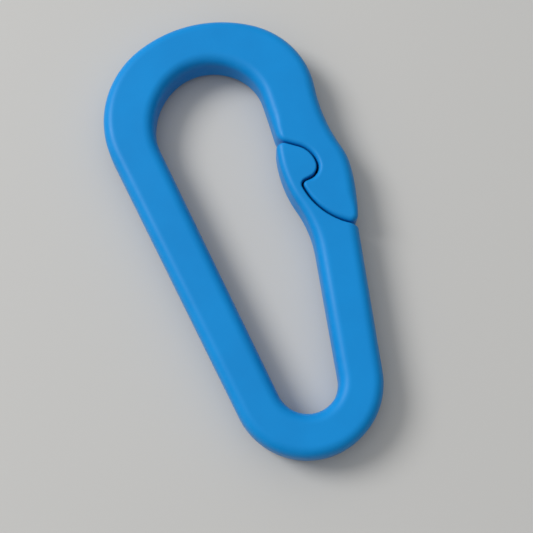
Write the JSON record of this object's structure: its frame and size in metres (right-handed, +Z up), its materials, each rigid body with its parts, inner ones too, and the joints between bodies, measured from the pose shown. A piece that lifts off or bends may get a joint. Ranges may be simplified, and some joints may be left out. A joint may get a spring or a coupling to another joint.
{
  "type": "carabiner keyring",
  "caption": "Flat moulded plastic carabiner keyring: a tapered loop with a springy limb as its gate, hooked into the nose along an S-shaped seam.",
  "frame": {"origin": "centre of the back face's outline, on the face it lies on", "axes": "+Y along the loop from the narrow key end to the wide crown, +X towards the gate limb, +Z up through the thickness"},
  "size_m": [0.0396, 0.0802, 0.0072],
  "materials": {
    "blue_plastic": "satin"
  },
  "bodies": {
    "frame": {"base_bow": "blue_plastic", "spine": "blue_plastic", "corner": "blue_plastic", "crown": "blue_plastic", "shoulder": "blue_plastic", "waist": "blue_plastic", "nose": "blue_plastic", "gate_root": "blue_plastic"},
    "flex_1": {"gate_flex_1": "blue_plastic"},
    "flex_2": {"gate_flex_2": "blue_plastic"},
    "flex_3": {"gate_flex_3": "blue_plastic"},
    "gate_tip": {"gate_arm": "blue_plastic", "gate_wrist": "blue_plastic", "gate_neck": "blue_plastic", "gate_head": "blue_plastic"}
  },
  "joints": [
    {"name": "gate_bend_1", "type": "hinge", "parent": "frame", "child": "flex_1", "pos_m": [0.00972, -0.02793, 0.0036], "axis": [0, 0, 1], "range_deg": [0, 5], "stiffness_Nm_per_rad": 0.01},
    {"name": "gate_bend_2", "type": "hinge", "parent": "flex_1", "child": "flex_2", "pos_m": [0.0105, -0.023, 0.0036], "axis": [0, 0, 1], "range_deg": [0, 4.35]},
    {"name": "gate_bend_3", "type": "hinge", "parent": "flex_2", "child": "flex_3", "pos_m": [0.01129, -0.01806, 0.0036], "axis": [0, 0, 1], "range_deg": [0, 3.7]},
    {"name": "gate_bend_4", "type": "hinge", "parent": "flex_3", "child": "gate_tip", "pos_m": [0.01208, -0.01312, 0.0036], "axis": [0, 0, 1], "range_deg": [0, 3]}
  ],
  "couplings": [
    {"joint": "gate_bend_2", "follows": "gate_bend_1", "ratio": 0.87},
    {"joint": "gate_bend_3", "follows": "gate_bend_1", "ratio": 0.74},
    {"joint": "gate_bend_4", "follows": "gate_bend_1", "ratio": 0.6}
  ]
}
